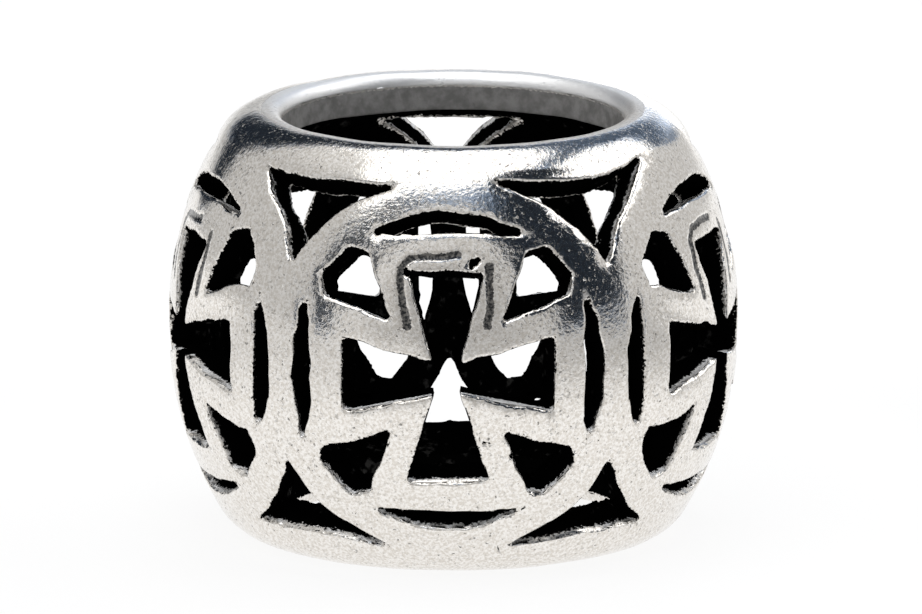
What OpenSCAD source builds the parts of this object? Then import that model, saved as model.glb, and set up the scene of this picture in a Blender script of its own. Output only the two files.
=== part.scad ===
// Openwork bead for a dreadlock: one casting, a barrel of pierced ring medallions between two plain rims.
// The hole runs up Z through the origin. A medallion faces -Y.

/* [Bead] */
// Diameter over the belly
outer_d = 13.4; // [13:0.1:13.8]
// Height between the two crests
height = 10.1; // [10:0.1:10.8]
// Diameter of the hole that the hair goes through
hole_d = 8; // [7.6:0.1:8.2]
// Thickness of the pierced wall
wall_t = 0.9; // [0.8:0.05:1.1]

/* [Rims] */
// Radius of the round shoulder between the side and the crest
shoulder_r = 1.25; // [1.1:0.05:1.4]
// Width of the flat filed on each crest, on which the bead stands
land_w = 0.12; // [0.08:0.01:0.2]
// Radius of the round edge between the flat and the hole's wall
lip_r = 0.3; // [0.2:0.02:0.34]
// Height of the hole's straight wall inside each rim
hole_wall_h = 0.6; // [0.4:0.05:0.7]
// Height from the crest down to where the hollow widens out to the pierced wall
rim_h = 1.15; // [1.1:0.05:1.25]

/* [Medallions] */
// Width of the post between two medallions, at the belly
post_w = 0.74; // [0.6:0.02:0.9]
// Width of the ring round each medallion
ring_w = 0.82; // [0.7:0.02:0.96]
// How far each ring runs into the plain band of the upper rim
ring_overlap = 0.24; // [0.16:0.02:0.4]
// How far each ring runs into the plain band of the lower rim
foot_overlap = 0.5; // [0.3:0.02:0.6]
// Width in the middle of the four slots inside the ring
slot_w = 0.6; // [0.5:0.02:0.7]

/* [Cross and corner holes] */
// Distance from the cross's centre to the end of each arm
arm_reach = 2.66; // [2.5:0.02:2.8]
// Half the width of each arm at its end
arm_half_w = 0.95; // [0.8:0.02:1.05]
// Distance of the four points between the arms from the cross's upright centre line
waist_x = 0.3; // [0.25:0.01:0.4]
// Distance of those points from its level centre line
waist_y = 0.36; // [0.3:0.01:0.4]
// Distance of a corner hole's inner point from each centre line
corner_tip = 1.37; // [1.3:0.01:1.45]
// Distance of a corner hole's side points from the nearer centre line
corner_near = 2.12; // [2:0.02:2.3]
// Distance of those points from the farther centre line
corner_far = 3.22; // [3:0.02:3.3]

/* [Hidden] */
$fn = 96;

medallions = 5;
step_a = 360 / medallions;
belly_r = outer_d / 2;
hole_r = hole_d / 2;

// Half angles, seen from the origin, of each ring's two edges and of the edges of the two plain bands
mm_to_deg = 180 / (PI * belly_r);
ring_in_a = step_a / 2 - post_w / 2 * mm_to_deg;
ring_out_a = ring_in_a + ring_w * mm_to_deg;
upper_band_a = ring_out_a - ring_overlap * mm_to_deg;
lower_band_a = ring_out_a - foot_overlap * mm_to_deg;

// The section's side is an arc that leaves the belly upright and meets the shoulder's arc without a corner
crest_r = hole_r + lip_r + land_w;
shoulder_z = height / 2 - shoulder_r;
inset = belly_r - crest_r;
side_r = (inset ^ 2 + shoulder_z ^ 2 - shoulder_r ^ 2) / (2 * (inset - shoulder_r));
side_x = belly_r - side_r;
meet_z = side_r * sin(atan2(shoulder_z, crest_r - side_x));

// The inside of the wall runs parallel to the outside, up to the height where the rims begin
inner_r = side_r - wall_t;
hollow_z = height / 2 - rim_h;
hollow_x = side_x + sqrt(inner_r ^ 2 - hollow_z ^ 2);
lip_z = height / 2 - lip_r;

// Each kind of cut starts and ends at its own distances from the origin, clear of the wall
CONE_SPAN = [hole_r - 1.4, belly_r + 0.9];
SHORT_SPAN = [hole_r - 1.2, belly_r + 0.7];
LONG_SPAN = [hole_r - 1.6, belly_r + 1.1];
SPANDREL_SPAN = [hole_r - 0.5, belly_r + 0.6];

// The cones round the rings have their tips this far behind the origin, so that neighbours cross cleanly
ring_cone_back = 0.5;

// The kite of each corner hole has its outer point beyond the ring, this many times its slanted side's rise
kite_reach = 0.65;

// The two medallions at the back sit a few degrees off their even fifths, as the casting's do
TURN_A = [0, 0, 2.2, 2.2, 0];

// The cross differs a little from arm to arm, as the casting does
// columns: direction, added reach, added half width
ARMS = [
    [0, 0.05, -0.02],
    [90, -0.06, 0],
    [180, -0.05, -0.02],
    [270, 0.07, 0.05],
];

// Half section of the solid barrel, before the hollow is taken out
module barrel_section() {
    intersection() {
        union() {
            intersection() {
                translate([side_x, 0]) circle(side_r);
                translate([0, -meet_z]) square([2 * belly_r, 2 * meet_z]);
            }
            for (s = [-1, 1]) translate([crest_r, s * shoulder_z]) circle(shoulder_r);
            translate([0, -height / 2]) square([crest_r, height]);
        }
        translate([0, -height]) square([2 * belly_r, 2 * height]);
    }
}

// Half section of the hollow and the hole
module hollow_section() {
    intersection() {
        translate([side_x, 0]) circle(inner_r);
        translate([0, -hollow_z]) square([belly_r, 2 * hollow_z]);
    }
    for (s = [-1, 1]) scale([1, s]) {
        polygon([
            [0, 0],
            [hollow_x, hollow_z],
            [hole_r, lip_z - hole_wall_h],
            [hole_r, height],
            [0, height],
        ]);
        difference() {
            translate([0, lip_z]) square([hole_r + lip_r, height]);
            translate([hole_r + lip_r, lip_z]) circle(lip_r);
        }
    }
}

// The barrel with its hollow and hole, before it is pierced
module shell() {
    rotate_extrude() difference() {
        barrel_section();
        hollow_section();
    }
}

// A cutting cone up Z that has the given half angle where it crosses the plane that touches the belly
module ray_cone(half_a, back = 0) {
    slope = belly_r * tan(half_a) / (belly_r + back);
    h = CONE_SPAN[1] - CONE_SPAN[0];
    translate([0, 0, CONE_SPAN[0]])
        cylinder(h = h, r1 = (CONE_SPAN[0] + back) * slope, r2 = (CONE_SPAN[1] + back) * slope);
}

// A cut along rays from the origin, round an outline drawn on the plane that touches the belly
module ray_cut(outline, span) {
    n = len(outline);
    middle = n;
    up = n + 1;
    ends = [for (d = span) each [for (p = [each outline, [0, 0]]) [p.x, p.y, belly_r] * d / belly_r]];
    polyhedron(points = ends, faces = [
        for (i = [0:n - 1])
            let (j = (i + 1) % n)
            each [[i, i + up, j + up, j], [middle, i, j], [middle + up, j + up, i + up]]
    ]);
}

// Draws its children once on each medallion, with their Z along the medallion's axis and their Y up
module on_medallions() {
    for (i = [0:medallions - 1]) rotate([0, 0, i * step_a + TURN_A[i]]) rotate([90, 0, 0]) children();
}

// Outline of the cross: two end corners for each arm, then the point before the next arm
function cross_outline() = [
    for (row = ARMS)
        let (a = row[0], reach = arm_reach + row[1], half_w = arm_half_w + row[2])
        each [
            [reach * cos(a) + half_w * sin(a), reach * sin(a) - half_w * cos(a)],
            [reach * cos(a) - half_w * sin(a), reach * sin(a) + half_w * cos(a)],
            [sign(cos(a + 45)) * waist_x, sign(sin(a + 45)) * waist_y],
        ]
];

module crosses() {
    on_medallions() ray_cut(cross_outline(), SHORT_SPAN);
}

// Four holes inside each ring, whose outer side is the ring's own inner edge
module corner_holes() {
    kite_far = corner_far + kite_reach * (corner_far - corner_near);
    kite = [
        [corner_tip, corner_tip],
        [corner_far, corner_near],
        [kite_far, kite_far],
        [corner_near, corner_far],
    ];
    on_medallions() intersection() {
        ray_cone(ring_in_a);
        union() for (k = [0:3]) rotate([0, 0, 90 * k]) ray_cut(kite, SHORT_SPAN);
    }
}

// Four slots inside each ring: what is left of the ring's inside beyond a square plate
module slots() {
    half_side = belly_r * tan(ring_in_a) - slot_w;
    plate = [for (k = [0:3]) half_side * sqrt(2) * [cos(90 * k + 45), sin(90 * k + 45)]];
    on_medallions() difference() {
        ray_cone(ring_in_a);
        ray_cut(plate, LONG_SPAN);
    }
}

// Ten three-sided openings between the rings and the rims
module spandrels() {
    difference() {
        cylinder(h = height, r = SPANDREL_SPAN[1], center = true);
        ray_cone(90 - upper_band_a);
        rotate([180, 0, 0]) ray_cone(90 - lower_band_a);
        on_medallions() ray_cone(ring_out_a, ring_cone_back);
        cylinder(h = 2 * height, r = SPANDREL_SPAN[0], center = true);
    }
}

module bead() {
    color("silver") difference() {
        shell();
        crosses();
        corner_holes();
        slots();
        spandrels();
    }
}

bead();
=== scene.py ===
"""An antiqued silver openwork bead, standing on its lower rim in soft studio light."""

import math

import bmesh
import bpy
import numpy as np
from mathutils import Matrix, Vector, kdtree, noise


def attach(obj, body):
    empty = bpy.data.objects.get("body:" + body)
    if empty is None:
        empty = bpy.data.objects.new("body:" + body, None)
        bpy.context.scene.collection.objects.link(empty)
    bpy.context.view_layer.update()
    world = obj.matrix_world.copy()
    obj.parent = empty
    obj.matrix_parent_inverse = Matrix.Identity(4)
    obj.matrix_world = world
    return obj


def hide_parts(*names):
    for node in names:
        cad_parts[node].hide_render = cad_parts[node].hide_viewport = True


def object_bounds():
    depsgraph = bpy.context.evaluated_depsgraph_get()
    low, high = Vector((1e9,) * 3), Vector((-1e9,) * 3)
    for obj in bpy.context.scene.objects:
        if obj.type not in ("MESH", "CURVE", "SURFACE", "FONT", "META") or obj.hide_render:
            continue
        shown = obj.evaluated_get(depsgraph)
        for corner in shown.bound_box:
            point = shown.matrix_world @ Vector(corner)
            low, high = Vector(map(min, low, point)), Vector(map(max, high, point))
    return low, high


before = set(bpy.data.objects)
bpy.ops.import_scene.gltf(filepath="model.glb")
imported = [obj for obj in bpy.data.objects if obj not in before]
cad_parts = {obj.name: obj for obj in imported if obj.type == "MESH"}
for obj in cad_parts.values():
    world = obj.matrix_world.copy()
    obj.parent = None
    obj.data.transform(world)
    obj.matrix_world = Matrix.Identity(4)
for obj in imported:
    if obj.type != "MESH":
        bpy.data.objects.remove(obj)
CAD_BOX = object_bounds()

MM = 0.001

# The bead's half section, as the solid has it, in millimetres
BELLY_R = 6.7
HALF_H = 5.05
CREST_R = 4.42
SHOULDER_R = 1.25
HOLE_R = 4.0
LIP_R = 0.3
RIM_H = 1.15

# The medallions, of which the two at the back sit some degrees off their even fifths
STEP_A = 360 / 5
BACK_TURN = 2.2
# Distance of the rings' outer edges from the medallions' middles, on the planes of the marks below
RING_OUT = 4.9

# The mesh: size of the remeshing's cells, and how many triangles are kept of it
VOXEL = 0.05
TRIANGLES = 190000
# Points of the solid that lie closer than this are one
MERGE_GAP = 0.0005

# The solid's edges: the least angle that the faces turn by, in radians, and how closely an edge is followed
EDGE_ANGLE = 0.6
EDGE_STEP = 0.04
# How deep under the skin the middle of an outer face can lie, and from where on a face is an inner one
OUTER_DEPTH = 0.02
INNER_DEPTH = 0.8

# The new mesh's skin lies this close to the true one, and is put right on it from this far off an edge on
SKIN_BAND = 0.04
EDGE_CLEAR = 0.1
# A point belongs to an opening's wall from this depth on, and takes the marks down to this depth
WALL_DEPTH = 0.03
MARK_REACH = 0.1
# The walls' roughness grows over this much more depth
ROUGH_RISE = 0.1
# The least distance along the skin that a height is divided by
LEAST_ALONG = 0.02

# Marks on the medallions, as (x, y) on the plane that touches the belly in front of each one
GROOVES = (
    ((-0.98, 1.26), (-1.15, 2.18), (-1.13, 2.74), (-0.92, 3.0), (0.28, 3.06)),
    ((1.06, 2.8), (1.09, 2.1), (0.98, 1.26)),
)
GROOVE_W = 0.24
GROOVE_DEPTH = 0.02
# The mesh stays fine this close to a groove's middle line, and this many radii round a pit
NEAR_GROOVE = 0.22
NEAR_PIT = 1.4
# How full the cross sections are: 1 is a plain dish, and more has a flat bottom
GROOVE_FULLNESS = 1.3
PIT_FULLNESS = 1.2

# Pits on the front medallion: (x, y), radius, depth
DENTS = (
    ((0.66, 2.87), 0.12, 0.3),
    ((0.76, 2.95), 0.09, 0.2),
    ((0.58, 2.77), 0.08, 0.2),
    ((-0.96, 2.55), 0.1, 0.2),
    ((-1.0, 2.68), 0.06, 0.12),
    ((0.92, -1.6), 0.05, 0.06),
    ((0.99, -1.63), 0.04, 0.05),
    ((1.62, -2.04), 0.08, 0.1),
)

# Where the casting strays from its even pattern round the front: a place on the unrolled barrel, as (along
# the belly, up) seen from the bead's middle, how far it lies from there, and how far around it that reaches
STRAYS = (
    ((-6.41, 5.17), (0.6, 0.07), 0.9),
    ((-5.18, 3.77), (0.34, 0.06), 0.9),
    ((-4.3, 2.51), (0.07, 0.19), 0.9),
    ((-1.91, 5.35), (0.36, 0.01), 0.9),
    ((1.96, 5.33), (-0.57, 0.23), 0.9),
    ((6.51, 5.18), (0.0, 0.45), 0.9),
    ((5.13, 3.83), (-0.1, 0.08), 0.9),
    ((4.21, 2.45), (0.03, 0.18), 0.9),
    ((-2.4, -4.8), (0.75, -0.35), 0.9),
    ((2.42, -4.79), (-0.78, -0.33), 0.9),
    ((-3.48, 1.74), (-0.16, -0.18), 0.45),
    ((-3.4, -1.77), (-0.24, 0.04), 0.45),
    ((-5.0, 1.79), (0.0, -0.34), 0.5),
    ((-5.0, -1.81), (0.0, 0.28), 0.5),
    ((3.51, 1.75), (0.04, -0.07), 0.45),
    ((3.52, -1.78), (0.12, 0.26), 0.45),
    ((5.0, 1.76), (-0.04, -0.16), 0.45),
    ((5.1, -2.04), (-0.12, 0.42), 0.6),
)
# A wobble everywhere, and the size of its swells
WOBBLE = 0.07
WOBBLE_SIZE = 0.5
WOBBLE_SEED = 1
# Both fade out towards the rims: from where on, up or down, and over how much
RIM_START = 5.9
RIM_FADE = 0.7

# Radius of the worn edges: round the three-sided openings, and round the others
WIDE_EDGE = 0.07
EDGE = 0.05
# What is added to it where the wall under the edge faces up
LEDGE_EDGE = 0.06

# The tarnish has this value at the openings' edges, grows down their walls and fades along the skin, at most
# over this distance
EDGE_TARNISH = 0.055
FADE_W = 0.2
# Close to an edge, a wall that faces up has less of it as painted light, and less again up to this height,
# and one that faces down has more as painted shade
EDGE_BAND = 0.08
LEDGE_LESS = 0.15
TOP_LESS = 0.08
TOP_Z = 3
UNDERSIDE_MORE = 0.08
# Inner edges above this height and deeper than this are rubbed bright over this width
RUBBED_Z = 2.6
RUBBED_DEPTH = 0.5
RUBBED_W = 0.03
# The hole has this value at its skin and more with each millimetre of depth
HOLE_TARNISH = -0.05
HOLE_GROWTH = 3
# Pits that are deeper than this have this value and their depth's
LEAST_PIT = 0.02
PIT_TARNISH = 0.05

# The view: long lens, a little above the bead, with a medallion almost square to it
VIEW_AZIMUTH = 1.25
VIEW_ELEVATION = 12.2
VIEW_DISTANCE = 600 * MM
FRAME_W = 21.64 * MM
BEAD_LEFT = 0.19 * MM
BEAD_DOWN = 0.26 * MM

FLOOR_HALF_W = 1.5


class Number:
    """A number that changes over a surface: a socket, which Python's operators extend by Math nodes."""

    def __init__(self, nodes, socket):
        self.nodes, self.socket = nodes, socket

    def _math(self, operation, a, b=None):
        inputs = {0: a} if b is None else {0: a, 1: b}
        node = self.nodes.add("ShaderNodeMath", {"operation": operation}, inputs)
        return Number(self.nodes, node.outputs[0])

    def __add__(self, other):
        return self._math("ADD", self, other)

    __radd__ = __add__

    def __sub__(self, other):
        return self._math("SUBTRACT", self, other)

    def __rsub__(self, other):
        return self._math("SUBTRACT", other, self)

    def __mul__(self, other):
        return self._math("MULTIPLY", self, other)

    __rmul__ = __mul__

    def __truediv__(self, other):
        return self._math("DIVIDE", self, other)

    def __pow__(self, other):
        return self._math("POWER", self, other)

    def __abs__(self):
        return self._math("ABSOLUTE", self)

    def __or__(self, other):
        return self._math("MAXIMUM", self, other)

    def rise(self, low, high):
        """0 up to low, 1 from high on, smooth between."""
        settings = {"interpolation_type": "SMOOTHSTEP"}
        inputs = {"Value": self, "From Min": low, "From Max": high}
        return Number(self.nodes, self.nodes.add("ShaderNodeMapRange", settings, inputs).outputs["Result"])


class Nodes:
    """The node tree of one finish, or of the light around the bead."""

    def __init__(self, owner):
        owner.use_nodes = True
        self.tree = owner.node_tree
        self.tree.nodes.clear()

    def add(self, kind, settings=None, inputs=None):
        """A node of that kind: first its settings, then the values or links of its sockets."""
        node = self.tree.nodes.new(kind)
        for name, value in (settings or {}).items():
            setattr(node, name, value)
        for name, value in (inputs or {}).items():
            if isinstance(value, Number):
                value = value.socket
            if isinstance(value, bpy.types.NodeSocket):
                self.tree.links.new(value, node.inputs[name])
            else:
                node.inputs[name].default_value = value
        return node

    def number(self, socket):
        """A socket as a number to reckon with."""
        return Number(self, socket)

    def attribute(self, name):
        """A value stored at the piece's points."""
        return self.number(self.add("ShaderNodeAttribute", {"attribute_name": name}).outputs["Fac"])

    def noise(self, where, size, detail=2, roughness=0.6, shift=0):
        """Cloudy noise around 0.5, with blobs about size across in the units of where."""
        moved = self.add("ShaderNodeVectorMath", {"operation": "ADD"}, {0: where, 1: (shift, 0, 0)})
        inputs = {"Vector": moved.outputs[0], "Scale": 1 / size, "Detail": detail, "Roughness": roughness}
        return self.number(self.add("ShaderNodeTexNoise", {}, inputs).outputs[0])

    def mix(self, share, a, b):
        """Colour a where share is 0, b where it is 1."""
        # The node's sockets for numbers, vectors and colours have the same names, so these go by their places
        return self.add("ShaderNodeMix", {"data_type": "RGBA"}, {0: share, 6: a, 7: b}).outputs[2]


def grey(level, warmth=0.0):
    """A colour of that level, warmer or cooler than neutral."""
    return (level * (1 + warmth), level, level * (1 - 1.4 * warmth), 1)


def section_outline():
    """Points of the half section's outside as (radius, height), from the belly over the crest to the hole."""
    shoulder_z = HALF_H - SHOULDER_R
    inset = BELLY_R - CREST_R
    side_r = (inset**2 + shoulder_z**2 - SHOULDER_R**2) / (2 * (inset - SHOULDER_R))
    side_x = BELLY_R - side_r
    meet = math.atan2(shoulder_z, CREST_R - side_x)
    points = [(side_x + side_r * math.cos(a), side_r * math.sin(a)) for a in np.linspace(0, meet, 80)]
    for a in np.linspace(meet, math.pi / 2, 40):
        points.append((CREST_R + SHOULDER_R * math.cos(a), shoulder_z + SHOULDER_R * math.sin(a)))
    for a in np.linspace(math.pi / 2, math.pi, 16):
        points.append((HOLE_R + LIP_R + LIP_R * math.cos(a), HALF_H - LIP_R + LIP_R * math.sin(a)))
    return np.array(points)


def nearest_outside(points):
    """The nearest point on the outside of the half section for each point, and how far off that is."""
    outline = section_outline()
    flat = np.column_stack([np.hypot(points[:, 0], points[:, 1]), abs(points[:, 2])])
    nearest = np.zeros_like(flat)
    gap = np.full(len(flat), np.inf)
    for a, d in zip(outline[:-1], np.diff(outline, axis=0)):
        share = np.clip(((flat - a) @ d) / (d @ d), 0, 1)
        there = a + share[:, None] * d
        distance = np.linalg.norm(flat - there, axis=1)
        closer = distance < gap
        gap[closer] = distance[closer]
        nearest[closer] = there[closer]
    return nearest, gap


def opening_edges(mesh):
    """Points along the openings' edges, in millimetres: those on the outer skin, and those inside."""
    bm = bmesh.new()
    bm.from_mesh(mesh)
    sunk = nearest_outside(np.array([f.calc_center_median() for f in bm.faces]))[1]
    bm.faces.index_update()
    outer, inner = [], []
    for edge in bm.edges:
        if len(edge.link_faces) != 2 or not edge.is_convex or edge.calc_face_angle() < EDGE_ANGLE:
            continue
        a, b = (sunk[f.index] for f in edge.link_faces)
        start, end = (v.co for v in edge.verts)
        steps = max(1, math.ceil((end - start).length / EDGE_STEP))
        line = [start.lerp(end, i / steps) for i in range(steps + 1)]
        if (a < OUTER_DEPTH) != (b < OUTER_DEPTH):
            outer += line
        elif max(a, b) > INNER_DEPTH:
            inner += line
    bm.free()
    return outer, inner


def nearest_of(edges, points):
    """How far each point lies from the nearest of the edges' points, and which that is."""
    tree = kdtree.KDTree(len(edges))
    for i, p in enumerate(edges):
        tree.insert(p, i)
    tree.balance()
    found = [tree.find(p)[1:] for p in points]
    return np.array([gap for _, gap in found]), [i for i, _ in found]


def merged_copy(node, name):
    """A copy of a solid's mesh as one closed surface, in millimetres."""
    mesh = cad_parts[node].data.copy()
    mesh.transform(Matrix.Scale(1 / MM, 4))
    bm = bmesh.new()
    bm.from_mesh(mesh)
    bmesh.ops.remove_doubles(bm, verts=bm.verts, dist=MERGE_GAP)
    bm.to_mesh(mesh)
    bm.free()
    piece = bpy.data.objects.new(name, mesh)
    bpy.context.scene.collection.objects.link(piece)
    return piece


def settle(piece):
    """Makes the piece's modifiers part of its mesh."""
    seen = piece.evaluated_get(bpy.context.evaluated_depsgraph_get())
    mesh = bpy.data.meshes.new_from_object(seen)
    old = piece.data
    piece.modifiers.clear()
    piece.data = mesh
    bpy.data.meshes.remove(old)


def add_modifier(piece, kind, **settings):
    """Puts a modifier of that kind on the piece, with its settings, after those that it has."""
    modifier = piece.modifiers.new(kind.lower(), kind)
    for name, value in settings.items():
        setattr(modifier, name, value)


def drop_crumbs(piece):
    """Deletes all but the largest part of the mesh: the remeshing leaves loose bits in narrow corners."""
    bm = bmesh.new()
    bm.from_mesh(piece.data)
    seen = set()
    parts = []
    for start in bm.verts:
        if start in seen:
            continue
        part = [start]
        seen.add(start)
        for vert in part:
            near = {edge.other_vert(vert) for edge in vert.link_edges} - seen
            seen |= near
            part += near
        parts.append(part)
    parts.sort(key=len)
    bmesh.ops.delete(bm, geom=[vert for part in parts[:-1] for vert in part], context="VERTS")
    bm.to_mesh(piece.data)
    bm.free()


def points_of(piece):
    """The piece's points, as rows of x, y and z."""
    values = np.empty(len(piece.data.vertices) * 3)
    piece.data.vertices.foreach_get("co", values)
    return values.reshape(-1, 3)


def lean_of(piece):
    """How much the surface faces up at each point: 1 straight up, 0 sideways, -1 straight down."""
    values = np.empty(len(piece.data.vertices) * 3)
    piece.data.vertex_normals.foreach_get("vector", values)
    return values[2::3]


def risen(values, start, width):
    """0 up to start, 1 from start + width on, even between."""
    return np.clip((values - start) / width, 0, 1)


def store(piece, name, values):
    """Keeps a value at each point of the piece, for its finish."""
    layer = piece.data.attributes.new(name, "FLOAT", "POINT")
    layer.data.foreach_set("value", values.astype(np.float32))


def on_medallion_plane(points):
    """Each point seen from the bead's middle, on the plane that touches the belly in front of its medallion,
    and whether that medallion is the front one."""
    azimuth = np.degrees(np.arctan2(points[:, 0], -points[:, 1]))
    index = np.round(azimuth / STEP_A)
    turn = np.radians(azimuth - STEP_A * index - BACK_TURN * (abs(index) == 2))
    depth = np.hypot(points[:, 0], points[:, 1]) * np.cos(turn)
    return BELLY_R * np.column_stack([np.tan(turn), points[:, 2] / depth]), index == 0


def away_from(path, points):
    """How far each point lies from a line of several straight runs."""
    path = np.array(path)
    gap = np.full(len(points), np.inf)
    for a, d in zip(path[:-1], np.diff(path, axis=0)):
        share = np.clip(((points - a) @ d) / (d @ d), 0, 1)
        gap = np.minimum(gap, np.linalg.norm(points - a - share[:, None] * d, axis=1))
    return gap


def marks(points):
    """How fully each point lies in a groove, how deep in a pit, and whether it is near either."""
    flat, front = on_medallion_plane(points)
    gap = np.min([away_from(path, flat) for path in GROOVES], axis=0)
    groove = np.clip(GROOVE_FULLNESS - GROOVE_FULLNESS * (2 * gap / GROOVE_W) ** 2, 0, 1)
    near = gap < NEAR_GROOVE
    pit = np.zeros(len(points))
    for middle, radius, deep in DENTS:
        out = np.linalg.norm(flat - middle, axis=1) / radius
        pit = np.maximum(pit, deep * np.clip(PIT_FULLNESS - PIT_FULLNESS * out**2, 0, 1) * front)
        near |= front & (out < NEAR_PIT)
    return groove, pit, near


def strayed(points):
    """The points moved along the skin, through the whole wall alike, as the casting's pattern strays."""
    outline = section_outline()
    outline = outline[outline[:, 0] >= CREST_R]

    def skin_radius(up):
        """The barrel's radius at that height on the unrolled barrel."""
        return np.interp(abs(up) / BELLY_R, outline[:, 1] / outline[:, 0], outline[:, 0])

    radius = np.hypot(points[:, 0], points[:, 1])
    turn = np.arctan2(points[:, 0], -points[:, 1])
    place = np.column_stack([BELLY_R * turn, BELLY_R * points[:, 2] / radius])
    on_skin = skin_radius(place[:, 1])
    height = on_skin * place[:, 1] / BELLY_R
    where = np.column_stack([on_skin * np.sin(turn), -on_skin * np.cos(turn), height])
    noise.seed_set(WOBBLE_SEED)
    shift = np.array([noise.noise_vector(Vector(p))[:2] for p in where / WOBBLE_SIZE]) * WOBBLE
    for at, by, reach in STRAYS:
        share = np.exp(-np.sum((place - at) ** 2, axis=1) / reach**2)
        shift += share[:, None] * by
    # The rims keep their place
    place += shift * (1 - risen(abs(place[:, 1]), RIM_START, RIM_FADE))[:, None]
    radius += skin_radius(place[:, 1]) - on_skin
    turn = place[:, 0] / BELLY_R
    height = radius * place[:, 1] / BELLY_R
    return np.column_stack([radius * np.sin(turn), -radius * np.cos(turn), height])


def fine_mesh(piece):
    """Makes the piece a fine even mesh, which stays finest at the grooves and pits."""
    add_modifier(piece, "REMESH", mode="VOXEL", voxel_size=VOXEL)
    add_modifier(piece, "SMOOTH", factor=0.5, iterations=4)
    settle(piece)
    co = points_of(piece)
    near = marks(co)[2] & (nearest_outside(co)[1] < MARK_REACH)
    plain = piece.vertex_groups.new(name="plain")
    plain.add(np.flatnonzero(~near).tolist(), 1.0, "REPLACE")
    piece.data.calc_loop_triangles()
    ratio = min(1, TRIANGLES / len(piece.data.loop_triangles))
    add_modifier(piece, "DECIMATE", ratio=ratio, vertex_group="plain")
    settle(piece)
    drop_crumbs(piece)


def roughen(piece, on_walls):
    """Makes the skin uneven as handwork does, and the walls rough, by each point's share in on_walls."""
    walls = piece.vertex_groups.new(name="walls")
    for i, weight in enumerate(on_walls):
        if weight > 0:
            walls.add([i], weight, "REPLACE")
    # columns: name, size of the swells, strength, finer layers, value that stays in place, points that move
    for name, size, strength, layers, level, group in (
        ("hand_finish", 1.3, 0.04, 0, 1.0, ""),
        ("rough_walls", 0.09, 0.09, 2, 0.5, "walls"),
    ):
        clouds = bpy.data.textures.new(name, "CLOUDS")
        clouds.noise_scale = size
        clouds.noise_depth = layers
        add_modifier(piece, "DISPLACE", texture=clouds, texture_coords="LOCAL", strength=strength,
                     mid_level=level, vertex_group=group)
    settle(piece)


def cast_body():
    """The casting: a pierced barrel with worn edges, a hand-finished skin and rough walls in the openings."""
    piece = merged_copy("bead", "cast_body")
    outer_edges, inner_edges = opening_edges(piece.data)
    co = points_of(piece)
    low, high = co.min(0), co.max(0)
    fine_mesh(piece)

    # Away from the openings the skin is the barrel's own true curve
    co = points_of(piece)
    gap, edge = nearest_of(outer_edges, co)
    nearest, sunk = nearest_outside(co)
    along = np.sqrt(np.maximum(gap**2 - sunk**2, 0))
    skin = (sunk < SKIN_BAND) & (along > EDGE_CLEAR)
    radius = np.hypot(co[:, 0], co[:, 1])
    co[skin, :2] *= (nearest[skin, 0] / radius[skin])[:, None]
    co[skin, 2] = np.sign(co[skin, 2]) * nearest[skin, 1]
    sunk[skin] = 0

    # It bends down into each opening over a worn edge, and sinks in the grooves and pits
    outer_edges = np.array(outer_edges)
    below = outer_edges[edge][:, 2] - co[:, 2]
    on_wall = sunk > WALL_DEPTH
    upward = np.clip(np.where(on_wall, lean_of(piece), below / np.maximum(along, LEAST_ALONG)), 0, 1)
    outside_ring = np.linalg.norm(on_medallion_plane(outer_edges)[0], axis=1) > RING_OUT
    edge_r = np.where(outside_ring, WIDE_EDGE, EDGE)[edge] + LEDGE_EDGE * upward
    drop = edge_r - np.sqrt(edge_r**2 - np.clip(edge_r - along, 0, None) ** 2)
    groove, pit, _ = marks(co)
    marked = sunk < MARK_REACH
    floor = np.maximum(drop, np.maximum(groove * GROOVE_DEPTH, pit) * marked)
    co[:, :2] *= (1 - np.clip(floor - sunk, 0, None) / radius)[:, None]
    piece.data.vertices.foreach_set("co", co.ravel())

    # How far past an opening's edge a point lies, down its wall; near the edge, painted light keeps walls
    # that face up silver longer, and painted shade darkens those that face down
    down_wall = np.maximum(sunk - drop, 0)
    past_edge = down_wall - np.minimum(along, FADE_W) + EDGE_TARNISH
    facing = np.where(on_wall, lean_of(piece), risen(below, 0, WALL_DEPTH))
    less = np.where(facing > 0, LEDGE_LESS + TOP_LESS * risen(co[:, 2], 0, TOP_Z), UNDERSIDE_MORE)
    past_edge -= less * facing * (along < EDGE_BAND)
    # The inner edges nearest the mouth are rubbed bright too
    rubbed = (sunk > RUBBED_DEPTH) & (co[:, 2] > RUBBED_Z)
    past_inner = nearest_of(inner_edges, co)[0] - RUBBED_W
    past_edge = np.where(rubbed, np.minimum(past_edge, past_inner), past_edge)
    # The hole's walls darken with their depth, and so do the pits
    in_hole = (radius < HOLE_R + LIP_R) & (abs(co[:, 2]) > HALF_H - RIM_H)
    past_edge = np.where(in_hole, HOLE_GROWTH * sunk + HOLE_TARNISH, past_edge)
    in_pit = pit * marked > LEAST_PIT
    past_edge = np.maximum(past_edge, np.where(in_pit, pit + PIT_TARNISH, past_edge))
    store(piece, "past_edge", past_edge)
    store(piece, "groove", groove * marked)
    # Painted highlight: walls that face up, which the finish paints white
    store(piece, "ledge_highlight", risen(facing, 0.3, 0.3) * risen(down_wall, 0, 0.04) * ~in_hole)

    piece.data.vertices.foreach_set("co", strayed(co).ravel())
    roughen(piece, risen(down_wall, WALL_DEPTH, ROUGH_RISE) * ~in_hole)

    # It fills the solid's box again
    co = points_of(piece)
    co = low + (co - co.min(0)) * (high - low) / (co.max(0) - co.min(0))
    piece.data.vertices.foreach_set("co", co.ravel())
    piece.data.transform(Matrix.Scale(MM, 4))
    piece.data.shade_smooth()
    return piece


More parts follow.
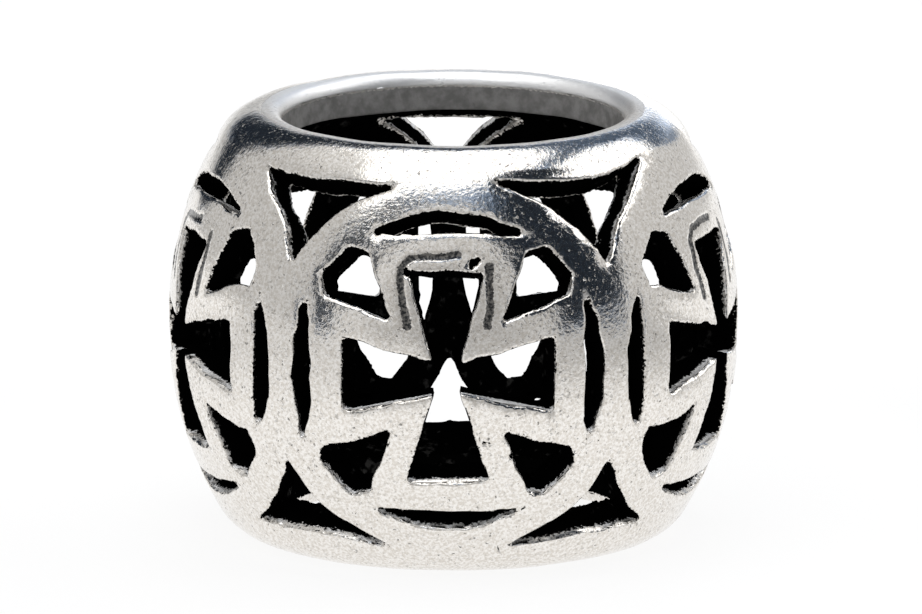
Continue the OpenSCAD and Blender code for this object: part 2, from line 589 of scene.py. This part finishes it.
def antiqued_silver():
    """Satin cast silver, finely grained and pitted, with black oxide in the openings and inside, and painted
    highlights and glints.
    """
    material = bpy.data.materials.new("antiqued_silver")
    nodes = Nodes(material)
    place = nodes.add("ShaderNodeTexCoord").outputs["Object"]
    where = nodes.add("ShaderNodeVectorMath", {"operation": "SCALE"}, {0: place, "Scale": 1 / MM}).outputs[0]
    xyz = nodes.add("ShaderNodeSeparateXYZ", {}, {0: where})
    x, y, z = (nodes.number(xyz.outputs[i]) for i in range(3))
    past_edge, groove, ledge_highlight = (nodes.attribute(name) for name in ("past_edge", "groove", "ledge_highlight"))

    # Noises, with their sizes in millimetres
    grain = nodes.noise(where, 0.07)
    mottle = nodes.noise(where, 0.3, detail=3, shift=11)
    ripple = nodes.noise(where, 0.12, shift=17)
    ragged = nodes.noise(where, 0.07, shift=23)
    flecks = nodes.noise(where, 0.08, shift=31).rise(0.56, 0.64) * mottle.rise(0.4, 0.6)
    pits = nodes.noise(where, 0.12, roughness=0.5, shift=37).rise(0.68, 0.74)

    # Where the black begins, the silver is dulled beside it, and the mouth is worn and brushed; the back of
    # the lip also takes a painted highlight
    black = (past_edge + (ragged - 0.5) * 0.32).rise(0.04, 0.07)
    at_edge = past_edge.rise(-0.04, 0.03)
    out = (x * x + y * y) ** 0.5
    worn_hole = (1 - out.rise(HOLE_R + 0.06, HOLE_R + 0.12)) * z.rise(HALF_H - 1, HALF_H - 0.85)
    brushed_lip_and_highlight = (1 - out.rise(CREST_R + 0.02, CREST_R + 0.12)) * z.rise(HALF_H - 0.35, HALF_H - 0.25)

    # Relief in millimetres
    height = grain * 0.0023 + ripple * 0.006 - pits * 0.01 - flecks * 0.002
    bump = nodes.add("ShaderNodeBump", {}, {"Height": height, "Distance": MM, "Strength": 1.0})

    # The silver's colours, then the oxide's with its painted glints
    skin = nodes.mix(grain.rise(0.35, 0.65), grey(0.68, 0.06), grey(0.9, 0.03))
    skin = nodes.mix(flecks * (z.rise(-4, -1) * 0.25 + 0.3), skin, grey(0.25, 0.05))
    skin = nodes.mix(pits * 0.7, skin, grey(0.08, 0.05))
    # Painted highlight: the back half of the lip is painted near-white
    skin = nodes.mix(brushed_lip_and_highlight * y.rise(-1, 2), skin, grey(0.98))
    stained = (groove + (ragged - 0.5) * 1.6 + (mottle - 0.5) * 0.8).rise(0.3, 0.6) * groove.rise(0, 0.1)
    skin = nodes.mix(stained * (grain.rise(0.35, 0.6) * 0.3 + 0.7), skin, grey(0.035, -0.05))
    # Painted highlight: walls that face up are painted white and made mostly non-metallic
    skin = nodes.mix(ledge_highlight, skin, grey(1.0))
    # Painted glints: faint grey patches on the deepest oxide inside the bead
    oxide_and_glints = nodes.mix(mottle.rise(0.58, 0.72) * past_edge.rise(0.4, 0.6), grey(0.001), grey(0.03, 0.03))
    oxide_and_glints = nodes.mix(worn_hole, oxide_and_glints, nodes.mix(mottle.rise(0.3, 0.7), grey(0.2, 0.02), grey(0.32, 0.02)))
    colour = nodes.mix(black, skin, oxide_and_glints)
    shader = nodes.add("ShaderNodeBsdfPrincipled", {}, {
        "Base Color": colour,
        "Metallic": (1 - black) * (1 - ledge_highlight * 0.9),
        "Roughness": 0.13 + black * 0.4 + pits * 0.2 + brushed_lip_and_highlight * 0.32 + at_edge * 0.25 + ledge_highlight * 0.3,
        "Specular IOR Level": 0.0,
        "Normal": bump.outputs[0],
    })
    nodes.add("ShaderNodeOutputMaterial", {}, {"Surface": shader.outputs[0]})
    return material


def pale_floor(level):
    """A wide white floor under the bead, which glows with a painted pool of light."""
    bm = bmesh.new()
    bmesh.ops.create_grid(bm, x_segments=1, y_segments=1, size=FLOOR_HALF_W)
    bmesh.ops.translate(bm, verts=bm.verts, vec=(0, 0, level))
    mesh = bpy.data.meshes.new("floor")
    bm.to_mesh(mesh)
    bm.free()
    floor = bpy.data.objects.new("floor", mesh)
    bpy.context.scene.collection.objects.link(floor)
    material = bpy.data.materials.new("white_floor")
    nodes = Nodes(material)
    place = nodes.add("ShaderNodeTexCoord").outputs["Object"]
    xyz = nodes.add("ShaderNodeSeparateXYZ", {}, {0: place})
    x, y = (nodes.number(xyz.outputs[i]) / MM for i in range(2))
    # Painted pool of light: the floor glows brighter round the bead and behind it, and more on the left than
    # on the right
    far = ((x * x + y * y) ** 0.5).rise(13, 34) * (1 - y.rise(0, 20))
    dimmed = far * (1 - (-1 * x).rise(0, 20) * 0.45)
    shader = nodes.add("ShaderNodeBsdfPrincipled", {}, {
        "Base Color": grey(0.15),
        "Roughness": 0.9,
        "Specular IOR Level": 0.05,
        "Emission Color": nodes.mix(dimmed, grey(0.86), grey(0.4)),
        "Emission Strength": 1.0,
    })
    nodes.add("ShaderNodeOutputMaterial", {}, {"Surface": shader.outputs[0]})
    floor.data.materials.append(material)


def direction(azimuth, elevation):
    """The unit vector from the bead to a viewer at that azimuth and elevation, in degrees."""
    a, e = math.radians(azimuth), math.radians(elevation)
    return Vector((math.sin(a) * math.cos(e), -math.cos(a) * math.cos(e), math.sin(e)))


def studio_light():
    """A white tent: bright overhead, dimmer on the left and in front, with dark rails round its openings."""
    world = bpy.data.worlds.new("light_tent")
    bpy.context.scene.world = world
    nodes = Nodes(world)
    ray = nodes.add("ShaderNodeTexCoord").outputs["Generated"]
    xyz = nodes.add("ShaderNodeSeparateXYZ", {}, {0: ray})
    x, y, z = (nodes.number(xyz.outputs[i]) for i in range(3))
    to_degrees = 180 / math.pi
    turn = nodes.number(nodes.add("ShaderNodeMath", {"operation": "ARCTAN2"}, {0: x, 1: -1 * y}).outputs[0])
    lift = nodes.number(nodes.add("ShaderNodeMath", {"operation": "ARCSINE"}, {0: z}).outputs[0])
    azimuth, elevation = turn * to_degrees, lift * to_degrees

    def oval(middle_a, middle_e, half_a, half_e, a=azimuth):
        """How far out a direction lies in an oval patch of the tent: 0 in its middle, 1 on its outline."""
        out_a = (a - middle_a) / half_a
        out_e = (elevation - middle_e) / half_e
        return (out_a * out_a + out_e * out_e) ** 0.5

    def patch(out, low=0.95, high=1.05):
        """1 inside an oval, 0 outside."""
        return 1 - out.rise(low, high)

    def lay(level, where, value):
        """Paints a patch of the tent at its own level."""
        return level * (1 - where) + where * value

    # Walls
    front = oval(3, 0, 57, 43)
    left = oval(-110, 15, 70, 53)
    right = oval(103, 20, 75, 45)
    low_right = oval(108, 8, 58, 22)
    level = lay(1.8, patch(left), 0.6 + elevation.rise(30, 65) * 0.2)
    level = lay(level, patch(low_right, 0.85), 0.66)
    level = lay(level, patch(front, 0.98, 1.0), 0.45 + front.rise(0.3, 0.9) * 0.32)

    # Dark rails and corners
    on_right = azimuth.rise(5, 35)
    front_rail = (front + on_right * 0.22).rise(0.9, 0.93) * (1 - (front - on_right * 0.22).rise(1.08, 1.12))
    front_rail = front_rail * elevation.rise(-3, 3) * (0.78 + abs(azimuth).rise(8, 30) * 0.22)
    right_rail = right.rise(0.84, 0.88) * (1 - right.rise(1.04, 1.08))
    right_rail = right_rail * elevation.rise(8, 20) * azimuth.rise(50, 90)
    corner = patch(oval(54, 53, 28, 14))
    back = patch(oval(180, 27, 45, 8, abs(azimuth)))
    back_left = patch(oval(-158, 28, 26, 19), 0.85) | patch(oval(-140, 16, 11, 15))
    back_right = patch(oval(157, 24, 16, 14), 0.9, 1.1)
    dark = front_rail | corner | right_rail * 0.95 | back_left | back_right * 0.6 | back * 0.95
    level = lay(level, dark, 0.02)

    floor_side = 1 - elevation.rise(-10, 2)
    level = lay(level, floor_side, 1.1)
    colour = nodes.mix(dark * (1 - floor_side), grey(1.0), (0.7, 1.0, 1.5, 1))
    light = nodes.add("ShaderNodeBackground", {}, {"Color": colour, "Strength": level})
    nodes.add("ShaderNodeOutputWorld", {}, {"Surface": light.outputs[0]})


def camera():
    """The long lens, aimed so that the bead stands a little left of and below the middle."""
    data = bpy.data.cameras.new("camera")
    data.lens = data.sensor_width * VIEW_DISTANCE / FRAME_W
    data.clip_start, data.clip_end = 0.01, 10
    cam = bpy.data.objects.new("camera", data)
    bpy.context.scene.collection.objects.link(cam)
    back = direction(VIEW_AZIMUTH, VIEW_ELEVATION)
    turn = (-back).to_track_quat("-Z", "Y")
    cam.rotation_mode = "QUATERNION"
    cam.rotation_quaternion = turn
    cam.location = back * VIEW_DISTANCE + turn @ Vector((BEAD_LEFT, BEAD_DOWN, 0))
    bpy.context.scene.camera = cam


def main():
    body = cast_body()
    body.data.materials.clear()
    body.data.materials.append(antiqued_silver())
    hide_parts("bead")
    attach(body, "root")
    pale_floor(CAD_BOX[0].z)
    studio_light()
    camera()
    bpy.context.scene.view_settings.view_transform = "Standard"


main()
